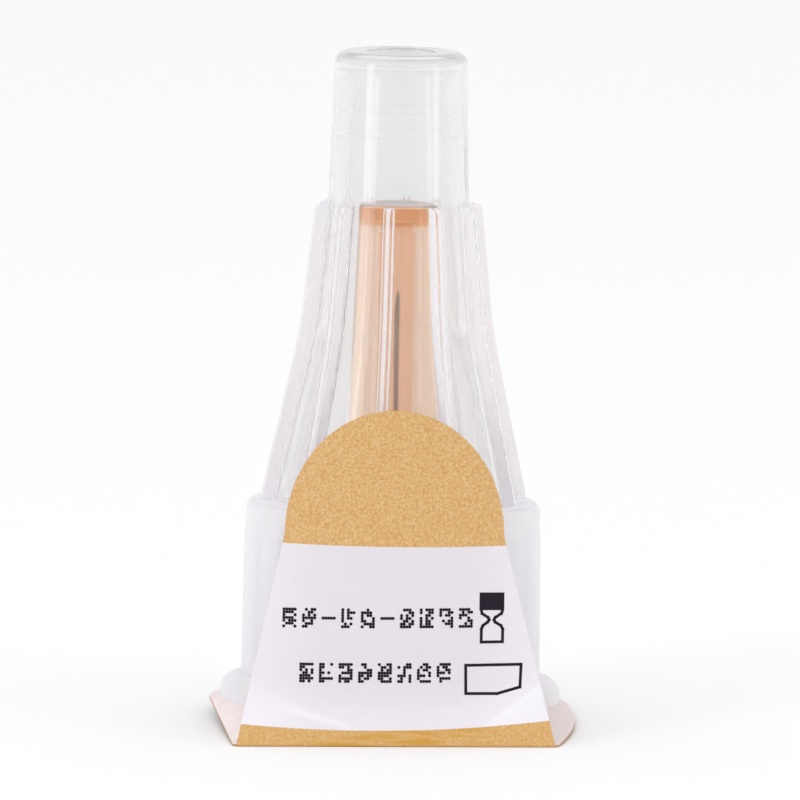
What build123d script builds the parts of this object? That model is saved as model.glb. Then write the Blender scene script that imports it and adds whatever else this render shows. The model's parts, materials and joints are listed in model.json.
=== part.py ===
from build123d import *

import os
from math import atan2, cos, degrees, radians, sin, sqrt, tan

os.makedirs("parts", exist_ok=True)

# A pen needle sealed in its outer cap, standing on its folded paper seal. All sizes are in mm.
# It is modelled upright, with Z on the needle's axis, Z = 0 at the underside of the cap's flange
# and the folded tab in front, on the -Y side. The last step stands it on its paper.

# Hub: the pen's thread inside its skirt sets the size of what surrounds it
HUB_RECESS = 0.7
THREAD_BORE_R = 4.55
THREAD_DEPTH = 7.3
THREAD_LEAD_IN = 0.4
HUB_WALL = 1.5
HUB_ROOF_T = 1.4
HUB_EDGE = 0.3
HUB_R = THREAD_BORE_R + HUB_WALL
SHOULDER_H = 0.5
SHOULDER_LIP = 0.15
SPIGOT_R = 1.8
SPIGOT_H = 3.8
SPIGOT_EDGE = 0.2
BOSS_R = 1.3
BOSS_H = 0.9
WELL_R = 0.55
WELL_DEPTH = 1.1

# Cannula and the adhesive that holds it
CANNULA_R = 0.15
CANNULA_BORE_R = 0.08
CANNULA_PLAY = 0.02
NEEDLE_REACH = 8.0
REAR_REACH = 4.6
BEVEL_ANGLE = 13.0
LANCET_ANGLE = 17.0
LANCET_TURN = 55.0
MENISCUS = 0.22
MENISCUS_BEND = 0.4

# Inner shield, a thick tube that grips the spigot and leaves room over the needle's point
SHIELD_GRIP_PLAY = 0.05
SHIELD_BELL_SPARE = 0.4
SHIELD_FOOT_WALL = 0.7
SHIELD_RIM = 0.4
SHIELD_RIM_H = 0.7
SHIELD_WAIST_H = 6.1
SHIELD_LOW_TAPER = 0.14
SHIELD_HIGH_TAPER = 0.33
SHIELD_EDGE_R = 0.22
SHIELD_BORE_R = 0.94
SHIELD_PIT_STEP = 0.14
SHIELD_PIT_H = 0.4
SHIELD_END_T = 1.05
NEEDLE_ROOM = 3.1
SHIELD_BELL_R = SPIGOT_R + SHIELD_GRIP_PLAY
SHIELD_FOOT_R = SHIELD_BELL_R + SHIELD_FOOT_WALL
SHIELD_RIM_R = SHIELD_FOOT_R + SHIELD_RIM
SHIELD_WAIST_R = SHIELD_FOOT_R - SHIELD_LOW_TAPER
SHIELD_TOP_R = SHIELD_WAIST_R - SHIELD_HIGH_TAPER
SHIELD_PIT_R = SHIELD_BORE_R - SHIELD_PIT_STEP
SHOULDER_R = SHIELD_RIM_R + SHOULDER_LIP

# Heights that the hub, the needle and the shield share
SKIRT_ROOF_Z = HUB_RECESS + THREAD_DEPTH
CHAMBER_ROOF_Z = SKIRT_ROOF_Z + HUB_ROOF_T
SHOULDER_Z = CHAMBER_ROOF_Z + SHOULDER_H
SPIGOT_TOP_Z = SHOULDER_Z + SPIGOT_H
NEEDLE_TIP_Z = SPIGOT_TOP_Z + NEEDLE_REACH
SHIELD_PIT_ROOF_Z = NEEDLE_TIP_Z + NEEDLE_ROOM + SHIELD_PIT_H
SHIELD_TOP_Z = SHIELD_PIT_ROOF_Z + SHIELD_END_T

# Outer cap: its base clears the hub, and its nose clears the shield
HUB_ROOM = 0.7
BASE_WALL = 1.05
BASE_DRAFT = 0.07
FLANGE_REACH = 1.08
FLANGE_T = 1.3
FLANGE_EDGE_R = 0.9
LEDGE_T = 1.2
LEDGE_EDGE_R = 0.55
BASE_STEP_DROP = 1.76
BASE_STEP = 0.06
CHAMBER_LEAD_IN = 0.35
CHAMBER_R = HUB_R + HUB_ROOM
BASE_TOP_R = CHAMBER_R + BASE_WALL
BASE_FOOT_R = BASE_TOP_R + BASE_DRAFT
FLANGE_R = BASE_FOOT_R + FLANGE_REACH
LEDGE_Z = CHAMBER_ROOF_Z + LEDGE_T
BASE_STEP_Z = LEDGE_Z - BASE_STEP_DROP

CAP_WALL = 0.95
ROOF_T = 1.1
SHIELD_ROOM = 0.45
SHIELD_TRAVEL = 6.95
CONE_LENGTH = 8.9
CONE_TAPER = 2.0
CONE_WAIST_BEND_R = 25.0
SHANK_LENGTH = 6.8
SHANK_TAPER = 0.6
NOSE_TAPER = 0.24
NOSE_EDGE_R = 0.65
GATE_DISH_R = 1.9
GATE_DISH_DEPTH = 0.15
BORE_STEP = 0.09
BORE_STEP_LOW_DEPTH = 4.4
BORE_STEP_HIGH_DEPTH = 3.1
CAP_HEIGHT = SHIELD_TOP_Z + SHIELD_TRAVEL + ROOF_T
CONE_WAIST_Z = LEDGE_Z + CONE_LENGTH
NOSE_FOOT_Z = CONE_WAIST_Z + SHANK_LENGTH
BORE_STEP_LOW_Z = CAP_HEIGHT - BORE_STEP_LOW_DEPTH
BORE_STEP_HIGH_Z = CAP_HEIGHT - BORE_STEP_HIGH_DEPTH
NOSE_TOP_R = SHIELD_TOP_R + SHIELD_ROOM + CAP_WALL
NOSE_FOOT_R = NOSE_TOP_R + NOSE_TAPER
CONE_WAIST_R = NOSE_FOOT_R + SHANK_TAPER
CONE_FOOT_R = CONE_WAIST_R + CONE_TAPER

# Outside ribs of the cap, standing on the ledge
RIB_COUNT = 10
RIB_T = 0.53
RIB_TURN = -97.0
RIB_INSET = 0.07
RIB_WAIST_HEIGHT = 0.83
RIB_HEAD_HEIGHT = 0.7
RIB_HEAD_EDGE_R = 0.5
RIB_ROOT = 0.3
RIB_FOOT_R = BASE_TOP_R - LEDGE_EDGE_R - RIB_INSET
RIB_WAIST_R = CONE_WAIST_R + RIB_WAIST_HEIGHT
RIB_HEAD_R = NOSE_FOOT_R + RIB_HEAD_HEIGHT

# Splines inside the cap that run in the hub's grooves
SPLINE_COUNT = 20
SPLINE_W = 0.6
SPLINE_FOOT_Z = 2.2
SPLINE_PLAY = 0.08
SPLINE_TIP_PLAY = 0.1
GROOVE_DEPTH = 0.45
SPLINE_TIP_R = HUB_R - GROOVE_DEPTH + SPLINE_TIP_PLAY

# Paper seal: the disc glued under the flange and its margin that droops to the fold
PAPER_T = 0.12
GLUE_INSET = 0.05
SEAL_MARGIN = 0.6
FOLD_OVERHANG = 0.5
FOLD_DROP = 1.38
FOLD_SLANT = 0.86
FOLD_LEFT_TAPER = 1.3
FOLD_RIGHT_TAPER = 0.6
LOBE_BULGE = 0.22
LOBE_DROP = 0.68
LOBE_END_DROP = 0.32
LOBE_ANGLE = 60.0
GLUE_R = FLANGE_R - GLUE_INSET
SEAL_R = GLUE_R + SEAL_MARGIN
FOLD_REACH = SEAL_R + FOLD_OVERHANG
FOLD_LEFT_X = FOLD_LEFT_TAPER - SEAL_R
FOLD_RIGHT_X = SEAL_R - FOLD_RIGHT_TAPER

# The seal's tab, folded up in front of the cap
TAB_GAP = 0.06
TAB_LEFT_INSET = 0.2
TAB_RIGHT_INSET = 0.18
TAB_LEFT_TAPER = 2.32
TAB_RIGHT_TAPER = 2.86
TAB_NECK_Z = 9.4
TAB_ARCH_H = 6.55
TAB_BEND_Z = 0.35
TAB_BEND_BOW_R = 40.0
TAB_TOP_BOW_R = 15.0
TAB_SPARE = 1.5
TAB_FOLD_LEFT_X = FOLD_LEFT_X + TAB_LEFT_INSET
TAB_FOLD_RIGHT_X = FOLD_RIGHT_X - TAB_RIGHT_INSET
TAB_NECK_LEFT_X = TAB_FOLD_LEFT_X + TAB_LEFT_TAPER
TAB_NECK_RIGHT_X = TAB_FOLD_RIGHT_X - TAB_RIGHT_TAPER
TAB_TOP_Z = TAB_NECK_Z + TAB_ARCH_H


def between(start, end, share):
    """The value that lies a share of the way from start to end."""
    return start + (end - start) * share


def nose_r(z):
    """Outside radius of the tapered nose at height z."""
    return between(NOSE_FOOT_R, NOSE_TOP_R, (z - NOSE_FOOT_Z) / (CAP_HEIGHT - NOSE_FOOT_Z))


def cone_r(z):
    """Outside radius of the lower cone at height z, between its ribs."""
    return between(CONE_FOOT_R, CONE_WAIST_R, (z - LEDGE_Z) / (CONE_WAIST_Z - LEDGE_Z))


def fold_z(x):
    """Height of the fold's underside, which isn't quite square to the needle's axis."""
    return x * tan(radians(FOLD_SLANT)) - FOLD_DROP - PAPER_T


def nearest_corner(sketch, point):
    """The corner of a sketch that lies nearest to a point."""
    return sketch.vertices().sort_by_distance(point)[0]


# One outside rib, which the cap repeats round its axis
with BuildPart() as rib:
    with BuildSketch(Plane.XZ):
        with BuildLine():
            FilletPolyline(
                (cone_r(LEDGE_Z) - RIB_ROOT, LEDGE_Z - RIB_ROOT),
                (RIB_FOOT_R, LEDGE_Z - RIB_ROOT),
                (RIB_WAIST_R, CONE_WAIST_Z),
                (RIB_HEAD_R, NOSE_FOOT_Z),
                (NOSE_FOOT_R - RIB_ROOT, NOSE_FOOT_Z),
                radius=[0, CONE_WAIST_BEND_R, RIB_HEAD_EDGE_R],
            )
            Polyline(
                (NOSE_FOOT_R - RIB_ROOT, NOSE_FOOT_Z),
                (CONE_WAIST_R - RIB_ROOT, CONE_WAIST_Z),
                (cone_r(LEDGE_Z) - RIB_ROOT, LEDGE_Z - RIB_ROOT),
            )
        make_face()
    extrude(amount=RIB_T / 2, both=True)

# One inside spline, from the chamber's wall towards the hub
spline_reach = CHAMBER_R + RIB_ROOT - SPLINE_TIP_R
with BuildPart() as spline:
    with BuildSketch(Plane.XY.offset(SPLINE_FOOT_Z)):
        with Locations((SPLINE_TIP_R + spline_reach / 2, 0)):
            Rectangle(spline_reach, SPLINE_W)
    extrude(amount=CHAMBER_ROOF_Z + RIB_ROOT - SPLINE_FOOT_Z)
    tip_foot = spline.edges().filter_by(Axis.Y).group_by(Axis.Z)[0].sort_by(Axis.X)[0]
    chamfer(tip_foot, length=spline_reach / 3)

# Outer cap: one moulding with a flange, a wide base, a ribbed cone and a tapered nose
with BuildPart() as outer_cap:
    with BuildSketch(Plane.XZ) as cap_profile:
        with BuildLine():
            step_r = between(BASE_FOOT_R, BASE_TOP_R, BASE_STEP_Z / LEDGE_Z)
            Polyline(
                (0, CAP_HEIGHT),
                (0, 0),
                (FLANGE_R, 0),
                (FLANGE_R, FLANGE_T),
                (BASE_FOOT_R, FLANGE_T),
                (step_r, BASE_STEP_Z),
                (step_r - BASE_STEP, BASE_STEP_Z + BASE_STEP),
                (BASE_TOP_R - BASE_STEP, LEDGE_Z),
                (CONE_FOOT_R, LEDGE_Z),
                (CONE_WAIST_R, CONE_WAIST_Z),
                (NOSE_FOOT_R, NOSE_FOOT_Z),
                (NOSE_TOP_R, CAP_HEIGHT),
                (0, CAP_HEIGHT),
            )
        make_face()
        for corner, radius in (
            ((FLANGE_R, FLANGE_T), FLANGE_EDGE_R),
            ((BASE_TOP_R, LEDGE_Z), LEDGE_EDGE_R),
            ((CONE_WAIST_R, CONE_WAIST_Z), CONE_WAIST_BEND_R),
            ((NOSE_TOP_R, CAP_HEIGHT), NOSE_EDGE_R),
        ):
            fillet(nearest_corner(cap_profile, corner), radius)
    revolve(axis=Axis.Z)
    with PolarLocations(0, RIB_COUNT, start_angle=RIB_TURN):
        add(rib.part)

    # The hollow inside: chamber for the hub, cone, and a bore that narrows in two steps
    roof_z = CAP_HEIGHT - ROOF_T
    cone_mouth_r = cone_r(CHAMBER_ROOF_Z) - CAP_WALL
    low_step_r = nose_r(BORE_STEP_LOW_Z) - CAP_WALL
    high_step_r = nose_r(BORE_STEP_HIGH_Z) - CAP_WALL - BORE_STEP
    with BuildSketch(Plane.XZ):
        with BuildLine():
            Polyline(
                (0, 0),
                (CHAMBER_R + CHAMBER_LEAD_IN, 0),
                (CHAMBER_R, CHAMBER_LEAD_IN),
                (CHAMBER_R, CHAMBER_ROOF_Z),
                (cone_mouth_r, CHAMBER_ROOF_Z),
                (CONE_WAIST_R - CAP_WALL, CONE_WAIST_Z),
                (NOSE_FOOT_R - CAP_WALL, NOSE_FOOT_Z),
                (low_step_r, BORE_STEP_LOW_Z),
                (low_step_r - BORE_STEP, BORE_STEP_LOW_Z),
                (high_step_r, BORE_STEP_HIGH_Z),
                (high_step_r - BORE_STEP, BORE_STEP_HIGH_Z),
                (nose_r(roof_z) - CAP_WALL - 2 * BORE_STEP, roof_z),
                (0, roof_z),
                (0, 0),
            )
        make_face()
    revolve(axis=Axis.Z, mode=Mode.SUBTRACT)
    with PolarLocations(0, SPLINE_COUNT):
        add(spline.part)

    # Shallow dish left by the mould's gate
    with BuildSketch(Plane.XY.offset(CAP_HEIGHT)):
        Circle(GATE_DISH_R)
    extrude(amount=-GATE_DISH_DEPTH, mode=Mode.SUBTRACT)

# Hub: skirt with the pen's thread bore, shoulder and spigot
boss_foot_z = SKIRT_ROOF_Z - BOSS_H
with BuildPart() as needle_hub:
    with BuildSketch(Plane.XZ) as hub_profile:
        with BuildLine():
            Polyline(
                (CANNULA_R + CANNULA_PLAY, boss_foot_z),
                (BOSS_R, boss_foot_z),
                (BOSS_R, SKIRT_ROOF_Z),
                (THREAD_BORE_R, SKIRT_ROOF_Z),
                (THREAD_BORE_R, HUB_RECESS + THREAD_LEAD_IN),
                (THREAD_BORE_R + THREAD_LEAD_IN, HUB_RECESS),
                (HUB_R, HUB_RECESS),
                (HUB_R, CHAMBER_ROOF_Z),
                (SHOULDER_R + SHOULDER_H, CHAMBER_ROOF_Z),
                (SHOULDER_R, SHOULDER_Z),
                (SPIGOT_R, SHOULDER_Z),
                (SPIGOT_R, SPIGOT_TOP_Z),
                (WELL_R, SPIGOT_TOP_Z),
                (WELL_R, SPIGOT_TOP_Z - WELL_DEPTH),
                (CANNULA_R + CANNULA_PLAY, SPIGOT_TOP_Z - WELL_DEPTH),
                (CANNULA_R + CANNULA_PLAY, boss_foot_z),
            )
        make_face()
        for corner, length in (
            ((HUB_R, CHAMBER_ROOF_Z), HUB_EDGE),
            ((HUB_R, HUB_RECESS), HUB_EDGE),
            ((SPIGOT_R, SPIGOT_TOP_Z), SPIGOT_EDGE),
        ):
            chamfer(nearest_corner(hub_profile, corner), length)
    revolve(axis=Axis.Z)

    # Grooves that take the cap's splines
    with BuildSketch(Plane.XY.offset(HUB_RECESS)):
        with PolarLocations(HUB_R, SPLINE_COUNT):
            Rectangle(2 * GROOVE_DEPTH, SPLINE_W + 2 * SPLINE_PLAY)
    extrude(amount=CHAMBER_ROOF_Z - HUB_RECESS, mode=Mode.SUBTRACT)

# Cannula: a fine tube, ground to a lancet point at both ends
rear_tip_z = boss_foot_z - REAR_REACH
with BuildPart() as cannula:
    with BuildSketch(Plane.XY.offset(rear_tip_z)):
        Circle(CANNULA_R)
        Circle(CANNULA_BORE_R, mode=Mode.SUBTRACT)
    extrude(amount=NEEDLE_TIP_Z - rear_tip_z)
    for tip_z, way in ((NEEDLE_TIP_Z, 1), (rear_tip_z, -1)):
        for grind, turn in ((BEVEL_ANGLE, 0), (LANCET_ANGLE, LANCET_TURN), (LANCET_ANGLE, -LANCET_TURN)):
            facing = Vector(0, -cos(radians(grind)), way * sin(radians(grind))).rotate(Axis.Z, turn)
            tip = Vector(0, CANNULA_R, tip_z)
            split(bisect_by=Plane(origin=tip, z_dir=facing), keep=Keep.BOTTOM)

# Adhesive: fills the well in the spigot's end and creeps a little up the cannula
with BuildPart() as adhesive_bead:
    with BuildSketch(Plane.XZ):
        with BuildLine():
            Polyline(
                (CANNULA_R, SPIGOT_TOP_Z + MENISCUS),
                (CANNULA_R, SPIGOT_TOP_Z - WELL_DEPTH),
                (WELL_R, SPIGOT_TOP_Z - WELL_DEPTH),
                (WELL_R, SPIGOT_TOP_Z),
            )
            ThreePointArc(
                (WELL_R, SPIGOT_TOP_Z),
                (between(CANNULA_R, WELL_R, MENISCUS_BEND), SPIGOT_TOP_Z + MENISCUS / 4),
                (CANNULA_R, SPIGOT_TOP_Z + MENISCUS),
            )
        make_face()
    revolve(axis=Axis.Z)

# Inner shield: a thick tapered tube, closed at the top, belled at the foot to grip the spigot
shield_waist_z = SHOULDER_Z + SHIELD_WAIST_H
bell_roof_z = SPIGOT_TOP_Z + SHIELD_BELL_SPARE
with BuildPart() as inner_shield:
    with BuildSketch(Plane.XZ) as shield_profile:
        with BuildLine():
            Polyline(
                (0, SHIELD_TOP_Z),
                (0, SHIELD_PIT_ROOF_Z),
                (SHIELD_PIT_R, SHIELD_PIT_ROOF_Z),
                (SHIELD_PIT_R, SHIELD_PIT_ROOF_Z - SHIELD_PIT_H),
                (SHIELD_BORE_R, SHIELD_PIT_ROOF_Z - SHIELD_PIT_H),
                (SHIELD_BORE_R, bell_roof_z),
                (SHIELD_BELL_R, bell_roof_z),
                (SHIELD_BELL_R, SHOULDER_Z),
                (SHIELD_RIM_R, SHOULDER_Z),
                (SHIELD_RIM_R, SHOULDER_Z + SHIELD_RIM_H),
                (SHIELD_FOOT_R, SHOULDER_Z + SHIELD_RIM_H),
                (SHIELD_WAIST_R, shield_waist_z),
                (SHIELD_TOP_R, SHIELD_TOP_Z),
                (0, SHIELD_TOP_Z),
            )
        make_face()
        fillet(nearest_corner(shield_profile, (SHIELD_TOP_R, SHIELD_TOP_Z)), SHIELD_EDGE_R)
    revolve(axis=Axis.Z)

# Peel seal: the tab is lofted from the straight fold to a bowed sheet that leans on the cap
low_touch_y = -FLANGE_R - TAB_GAP
high_touch_y = -BASE_TOP_R - TAB_GAP
high_touch_z = LEDGE_Z - LEDGE_EDGE_R
tab_lean = (high_touch_y - low_touch_y) / (high_touch_z - TAB_BEND_Z)
loft_top_z = TAB_TOP_Z + TAB_SPARE
loft_half_w = FOLD_RIGHT_X + TAB_SPARE
along_fold = Vector(1, 0, 0).rotate(Axis.Y, -FOLD_SLANT)
fold_foot = Vector(0, -FOLD_REACH, fold_z(0))
with BuildPart() as peel_seal:
    with BuildSketch(Plane(origin=fold_foot, x_dir=along_fold, z_dir=along_fold.cross(Vector(0, 1, 0)))):
        Rectangle(2 * loft_half_w, PAPER_T, align=(Align.CENTER, Align.MAX))
    for z, bow_r in ((TAB_BEND_Z, TAB_BEND_BOW_R), (loft_top_z, TAB_TOP_BOW_R)):
        crown_y = low_touch_y + tab_lean * (z - TAB_BEND_Z)
        bow_depth = bow_r - sqrt(bow_r**2 - loft_half_w**2)
        with BuildSketch(Plane.XY.offset(z)):
            with BuildLine():
                for y in (crown_y, crown_y - PAPER_T):
                    ThreePointArc(
                        (-loft_half_w, y + bow_depth),
                        (0, y),
                        (loft_half_w, y + bow_depth),
                    )
                for side in (-1, 1):
                    Line(
                        (side * loft_half_w, crown_y + bow_depth),
                        (side * loft_half_w, crown_y - PAPER_T + bow_depth),
                    )
            make_face()
    loft(ruled=True)

    # Cut to the tab's outline: straight tapered sides and a rounded end
    neck_x = (TAB_NECK_LEFT_X + TAB_NECK_RIGHT_X) / 2
    neck_half_w = (TAB_NECK_RIGHT_X - TAB_NECK_LEFT_X) / 2
    with BuildSketch(Plane.XZ):
        with BuildLine():
            Line((TAB_FOLD_LEFT_X, fold_z(TAB_FOLD_LEFT_X)), (TAB_NECK_LEFT_X, TAB_NECK_Z))
            EllipticalCenterArc(
                (neck_x, TAB_NECK_Z), neck_half_w, TAB_TOP_Z - TAB_NECK_Z, arc_size=180
            )
            Line((TAB_NECK_RIGHT_X, TAB_NECK_Z), (TAB_FOLD_RIGHT_X, fold_z(TAB_FOLD_RIGHT_X)))
            Line(
                (TAB_FOLD_RIGHT_X, fold_z(TAB_FOLD_RIGHT_X)),
                (TAB_FOLD_LEFT_X, fold_z(TAB_FOLD_LEFT_X)),
            )
        make_face()
    extrude(amount=2 * FOLD_REACH, mode=Mode.INTERSECT)

    # The glued disc
    with BuildSketch(Plane.XY):
        Circle(GLUE_R)
    extrude(amount=-PAPER_T)

    # The free margin: from the glued disc out to the paper's edge, drooping towards the fold
    left_angle = degrees(atan2(FOLD_REACH, -FOLD_LEFT_X))
    right_angle = degrees(atan2(FOLD_REACH, FOLD_RIGHT_X))
    left_end = Vector(-SEAL_R, 0, 0)
    right_end = Vector(SEAL_R, 0, -LOBE_END_DROP)
    fold_left = Vector(FOLD_LEFT_X, -FOLD_REACH, fold_z(FOLD_LEFT_X) + PAPER_T)
    fold_right = Vector(FOLD_RIGHT_X, -FOLD_REACH, fold_z(FOLD_RIGHT_X) + PAPER_T)
    lobe = Vector(SEAL_R + LOBE_BULGE, -FOLD_REACH / 2, -LOBE_DROP)
    lobe_end = Vector(SEAL_R, 0, 0).rotate(Axis.Z, LOBE_ANGLE)
    lobe_fade = Vector(SEAL_R, 0, 0).rotate(Axis.Z, LOBE_ANGLE / 2)
    lobe_fade.Z = -LOBE_END_DROP / 4
    glue_left = CenterArc((0, 0, 0), GLUE_R, 180, left_angle, mode=Mode.PRIVATE)
    glue_front = CenterArc(
        (0, 0, 0), GLUE_R, 180 + left_angle, 180 - left_angle - right_angle, mode=Mode.PRIVATE
    )
    glue_right = CenterArc((0, 0, 0), GLUE_R, -right_angle, right_angle, mode=Mode.PRIVATE)
    glue_fade = CenterArc((0, 0, 0), GLUE_R, 0, LOBE_ANGLE, mode=Mode.PRIVATE)
    glue_back = CenterArc((0, 0, 0), GLUE_R, LOBE_ANGLE, 180 - LOBE_ANGLE, mode=Mode.PRIVATE)
    edge_left = Line(left_end, fold_left, mode=Mode.PRIVATE)
    edge_front = Line(fold_left, fold_right, mode=Mode.PRIVATE)
    edge_right = Spline(fold_right, lobe, right_end, mode=Mode.PRIVATE)
    edge_fade = Spline(right_end, lobe_fade, lobe_end, mode=Mode.PRIVATE)
    edge_back = CenterArc((0, 0, 0), SEAL_R, LOBE_ANGLE, 180 - LOBE_ANGLE, mode=Mode.PRIVATE)
    margins = (
        (glue_left, edge_left),
        (glue_front, edge_front),
        (glue_right, edge_right),
        (glue_fade, edge_fade),
        (glue_back, edge_back),
    )
    for inner, outer in margins:
        margin = Face.make_surface_from_curves(inner.edge(), outer.edge())
        extrude(margin, amount=PAPER_T, dir=(0, 0, -1))

# The finished needle leans back until it rests on the fold and the rear edge of its paper,
# with the origin on the floor under the middle of that footprint
touch_turn = degrees(atan2(along_fold.Z * (FOLD_REACH + SEAL_R), FOLD_DROP))
rear_touch = Vector(0, SEAL_R, -PAPER_T).rotate(Axis.Z, -touch_turn)
floor = Plane(origin=fold_foot, x_dir=along_fold, z_dir=along_fold.cross(rear_touch - fold_foot))
front_edge = floor.to_local_coords(fold_foot - Vector(0, PAPER_T, 0))
rear_edge = floor.to_local_coords(Vector(0, SEAL_R, 0))
standing = Pos(0, -(front_edge.Y + rear_edge.Y) / 2, 0) * floor.location.inverse()
pieces = {
    "outer_cap": outer_cap,
    "inner_shield": inner_shield,
    "needle_hub": needle_hub,
    "cannula": cannula,
    "adhesive_bead": adhesive_bead,
    "peel_seal": peel_seal,
}
for name, piece in pieces.items():
    piece.part.move(standing)
    piece.part.label = name
    export_step(piece.part, f"parts/{name}.step")
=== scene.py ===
import json
from functools import cached_property
from math import atan2, ceil, cos, exp, pi, radians, sin, sqrt, tan

import bmesh
import bpy
from bpy.props import FloatProperty, FloatVectorProperty, IntProperty, PointerProperty
from mathutils import Matrix, Vector


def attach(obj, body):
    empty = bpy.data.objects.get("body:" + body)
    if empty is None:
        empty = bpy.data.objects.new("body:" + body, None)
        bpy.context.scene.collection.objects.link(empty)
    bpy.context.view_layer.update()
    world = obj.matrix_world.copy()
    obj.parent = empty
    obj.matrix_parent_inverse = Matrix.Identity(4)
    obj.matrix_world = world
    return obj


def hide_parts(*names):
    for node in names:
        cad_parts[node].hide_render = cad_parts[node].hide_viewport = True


bl_info = {
    "name": "Sealed Pen Needle",
    "version": (1, 0, 0),
    "blender": (4, 5, 0),
    "location": "3D View > Sidebar > Pen Needle",
    "description": "Dresses a sealed pen needle: ribbed cap, tinted shield, steel needle and paper seal",
    "category": "Object",
}

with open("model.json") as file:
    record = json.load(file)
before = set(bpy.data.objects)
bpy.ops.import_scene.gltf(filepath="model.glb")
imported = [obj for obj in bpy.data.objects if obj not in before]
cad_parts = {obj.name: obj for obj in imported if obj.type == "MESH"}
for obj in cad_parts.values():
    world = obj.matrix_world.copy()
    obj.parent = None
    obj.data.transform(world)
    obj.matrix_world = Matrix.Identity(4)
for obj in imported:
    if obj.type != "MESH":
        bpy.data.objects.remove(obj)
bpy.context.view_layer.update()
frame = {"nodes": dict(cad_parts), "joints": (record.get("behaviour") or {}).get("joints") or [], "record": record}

MM = 0.001
CAP_BODY = "sealed_cap"

# The paper seal, in millimetres in the needle's own frame: Z on the needle's axis, zero at the
# underside of the cap's flange, and the folded tab in front, at -Y
PAPER_T = 0.12
GLUE_R = 8.9
SEAL_R = 9.5
FLANGE_R = 8.95
FOLD_REACH = 10.0
FOLD_DROP = 1.38
FOLD_SLANT = radians(0.86)
FOLD_LEFT_X = -8.2
FOLD_RIGHT_X = 8.9
LOBE_X = 9.72
LOBE_DROP = 0.68
LOBE_END_DROP = 0.32
LOBE_ANGLE = radians(60)
TAB_FOLD_LEFT_X = -8.0
TAB_FOLD_RIGHT_X = 8.72
TAB_NECK_LEFT_X = -5.68
TAB_NECK_RIGHT_X = 5.86
TAB_NECK_Z = 9.4
TAB_ARCH_H = 6.55
TAB_GAP = 0.06
TAB_LEAN = 0.1186
TAB_BEND_Z = 0.35
TAB_BOW_TOP_Z = 17.45
TAB_BEND_BOW_R = 40.0
TAB_TOP_BOW_R = 15.0
STRIP_SLOPE = 0.6
CREASE_SOFTNESS = 0.07

# The spot (x, y) beside the fold's right end where the margin is crumpled
CRUMPLE = Vector((8.75, -9.15))
CRUMPLE_R = 0.3
CRUMPLE_H = 0.1

# The foot and the top of the tab's white field: each edge is a height that varies with x, as its
# square term, its slope and its height at x = 0
FIELD_FOOT = (0.0064, 0.0246, -0.66)
FIELD_TOP = (0.0022, 0.004, 8.87)
# Where the painted highlight towards the white field's sides rises, and the height under which the painted
# highlight at its foot lies
FIELD_SIDE_X = 5.6
FIELD_LOW_Z = 1.0

# The two soft creases over the tab's lower corners, along which the white field gets a painted highlight,
# as (slope, height at x = 0), where the left one starts and ends, and how far below the right one the
# painted highlight reaches where the sheet catches light
LEFT_CREASE = (-0.256, -1.06)
LEFT_CREASE_X = (-5.6, -2.0)
RIGHT_CREASE = (0.74, -3.96)
RIGHT_CREASE_REACH = 0.8

# The stretch of the gold strip where its streaks are strongest
STREAKS_X = 0.4
STREAKS_HALF_W = 4.2

THIN_INK_PALER = 0.015

# The cap's outside between its ribs, as (height, radius): the ledge, the waist and the foot of the nose
CAP_LEDGE = (10.6, 6.32)
CAP_WAIST = (19.5, 4.32)
CAP_NOSE_FOOT = (26.3, 3.72)

# The steps of the bore in the nose, as (height, haze of the corner), and a radius between the nose's
# outside and that bore
BORE_STEPS = ((29.9, 0.12), (31.2, 0.06))
NOSE_WALL_MIDDLE_R = 3.0

# The cap's ribs. A point counts as a rib's when it stands this far off the cone, and each half of a
# crest is clear between two shares of its width
RIB_COUNT = 10
RIB_ARC = 2 * pi / RIB_COUNT
RIB_TURN = radians(-97)
RIB_HALF_T = 0.265
RIB_STAND_OFF = 0.2
CREST_CLEAR = (0.4, 0.9)

# The solid end of the shield, from its foot to its top, and the fine mould lines near it
SHIELD_END_Z = (25.15, 26.12)
SHIELD_LINES_Z = (25.95, 25.05, 24.65)

# The needle's own frame, from the axis of its joint and the face that the seal is glued to
SEAL_MOUNT = next(mount for mount in frame["record"]["mounts"] if mount["name"] == "seal_face")
AXIS = Vector(frame["joints"][0]["axis"]).normalized()
BACK = Vector((0, AXIS.z, -AXIS.y)).normalized()
RIGHT = BACK.cross(AXIS)
FLANGE_CENTRE = Vector(SEAL_MOUNT["pos_m"]) + AXIS * PAPER_T * MM
STANDING = Matrix.Translation(FLANGE_CENTRE) @ Matrix((RIGHT, BACK, AXIS)).transposed().to_4x4()


def between(start, end, share):
    """The value that lies a share of the way from start to end."""
    return start + (end - start) * share


def through(start, middle, end, share):
    """The point a share of the way along a parabola from start to end, with the middle halfway."""
    rest = 1 - share
    return start * rest * (rest - share) + middle * 4 * share * rest + end * share * (share - rest)


def fold_z(x):
    """Height of the inside of the fold, which isn't quite square to the needle's axis."""
    return x * tan(FOLD_SLANT) - FOLD_DROP


def bow_depth(radius, x):
    """How far a sheet that is bowed to this radius has gone back at x."""
    return radius - sqrt(radius * radius - x * x)


def tab_y(x, z):
    """Depth of the tab's printed side. A stiff strip leans back from the fold and meets the bowed
    sheet in a crease."""
    rise = max(z - TAB_BEND_Z, 0) / (TAB_BOW_TOP_Z - TAB_BEND_Z)
    bow = between(bow_depth(TAB_BEND_BOW_R, x), bow_depth(TAB_TOP_BOW_R, x), rise)
    sheet = TAB_LEAN * (z - TAB_BEND_Z) - FLANGE_R - TAB_GAP - PAPER_T + bow
    strip = STRIP_SLOPE * (z - fold_z(x)) - FOLD_REACH - PAPER_T
    blend = sqrt((sheet - strip) ** 2 + CREASE_SOFTNESS**2)
    return (sheet + strip - blend) / 2 + CREASE_SOFTNESS**2


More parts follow.
